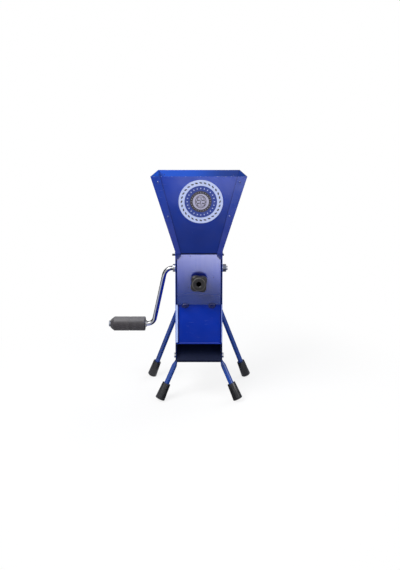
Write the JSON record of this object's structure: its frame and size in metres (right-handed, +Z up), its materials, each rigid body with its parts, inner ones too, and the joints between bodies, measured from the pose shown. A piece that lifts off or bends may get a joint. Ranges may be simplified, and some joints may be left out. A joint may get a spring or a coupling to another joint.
{
  "type": "hand crank nut cracker",
  "caption": "Hand cranked bench nut cracker: sheet hopper, box body with fluted drum and adjustable jaw, bent crank, splayed tube legs.",
  "frame": {"origin": "on the bench, midway between the two front feet's and rear feet's sides, below the middle of the body", "axes": "+Z up; -Y is the front with the cover, the knob and the outlet; the crank stands out along -X"},
  "size_m": [0.3574, 0.2335, 0.533],
  "materials": {
    "body_paint": "glossy blue powder coat",
    "chute_dark": "dark shadowed paint",
    "bright_bar": "bright plated round bar",
    "zinc": "zinc plated fasteners",
    "drum_steel": "machined steel",
    "bronze": "oiled bronze",
    "foot_rubber": "satin black rubber",
    "grip_rubber": "satin dark grip",
    "knob_plastic": "satin black moulding"
  },
  "bodies": {
    "frame": {"side_wall_left": "body_paint", "side_wall_right": "body_paint", "back_wall": "body_paint", "lower_front_panel": "body_paint", "front_cover": "body_paint", "cover_welds": "body_paint", "hopper_side_left": "body_paint", "hopper_side_right": "body_paint", "hopper_front_panel": "body_paint", "hopper_back_panel": "body_paint", "hopper_rivets": "body_paint", "leg_front_left": "body_paint", "leg_front_right": "body_paint", "leg_rear_left": "body_paint", "leg_rear_right": "body_paint", "chute_floor": "chute_dark", "feed_guide": "chute_dark", "skirt_bolts": "zinc", "front_leg_bolts": "zinc", "rear_leg_bolts": "zinc", "hinge_rod": "zinc", "screw_nut": "zinc", "shaft_bush_left": "bronze", "shaft_bush_right": "bronze", "foot_front_left": "foot_rubber", "foot_front_right": "foot_rubber", "foot_rear_left": "foot_rubber", "foot_rear_right": "foot_rubber"},
    "crank": {"crank_bar": "bright_bar", "cracking_drum": "drum_steel", "drum_pin": "drum_steel", "shaft_collar": "zinc", "collar_screw": "zinc", "shaft_washer": "zinc", "shaft_nut": "zinc", "grip_collar": "zinc", "grip_nut": "zinc"},
    "grip": {"hand_grip": "grip_rubber"},
    "jaw": {"jaw_plate": "drum_steel", "jaw_tube": "drum_steel"},
    "pad": {"pressure_pad": "drum_steel"},
    "screw": {"adjusting_screw": "zinc", "adjusting_knob": "knob_plastic"}
  },
  "joints": [
    {"name": "crank_spin", "type": "hinge", "parent": "frame", "child": "crank", "pos_m": [0, 0.017, 0.2976], "axis": [1, 0, 0], "continuous": true},
    {"name": "grip_spin", "type": "hinge", "parent": "crank", "child": "grip", "pos_m": [-0.177, 0.017, 0.1566], "axis": [1, 0, 0], "continuous": true},
    {"name": "pad_feed", "type": "slide", "parent": "frame", "child": "pad", "axis": [0, 1, 0], "range_m": [-0.012, 0.0025]},
    {"name": "screw_turn", "type": "hinge", "parent": "pad", "child": "screw", "pos_m": [0, -0.06, 0.285], "axis": [0, 1, 0], "range_deg": [-2881, 601]},
    {"name": "jaw_swing", "type": "hinge", "parent": "frame", "child": "jaw", "pos_m": [0, -0.043, 0.3445], "axis": [1, 0, 0], "range_deg": [-11.6, 2.45]}
  ],
  "couplings": [
    {"joint": "screw_turn", "follows": "pad_feed", "rad_per_m": 4188.8},
    {"joint": "jaw_swing", "follows": "pad_feed", "rad_per_m": 16.8}
  ]
}
